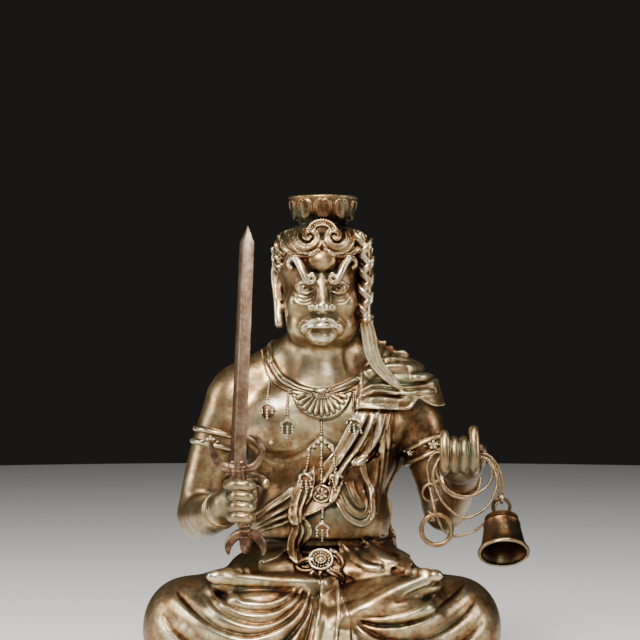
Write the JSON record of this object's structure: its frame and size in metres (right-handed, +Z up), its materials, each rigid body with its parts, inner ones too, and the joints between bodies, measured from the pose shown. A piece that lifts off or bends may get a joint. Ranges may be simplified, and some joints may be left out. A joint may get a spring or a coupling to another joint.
{
  "type": "bronze acala statue",
  "caption": "Seated bronze guardian on a low oval base, holding an upright sword and a looped wire rope with rings and a small bell.",
  "frame": {"origin": "on the underside of the base, below the figure's spine", "axes": "+Z up, the figure looks along -Y, and its left hand is on +X"},
  "size_m": [0.2267, 0.1926, 0.322],
  "materials": {
    "base": "dark brown patinated bronze",
    "figure": "cast bronze, brown patina in the hollows and rubbed bright on the ridges",
    "sword": "cast bronze, brown patina",
    "rope": "twisted bronze wire",
    "small_ring": "rubbed bronze",
    "large_ring": "rubbed bronze",
    "bell": "cast bronze, dark inside"
  },
  "bodies": {
    "root": {"base": "base", "figure": "figure", "sword": "sword", "rope": "rope", "small_ring": "small_ring", "large_ring": "large_ring", "bell": "bell"}
  },
  "joints": []
}
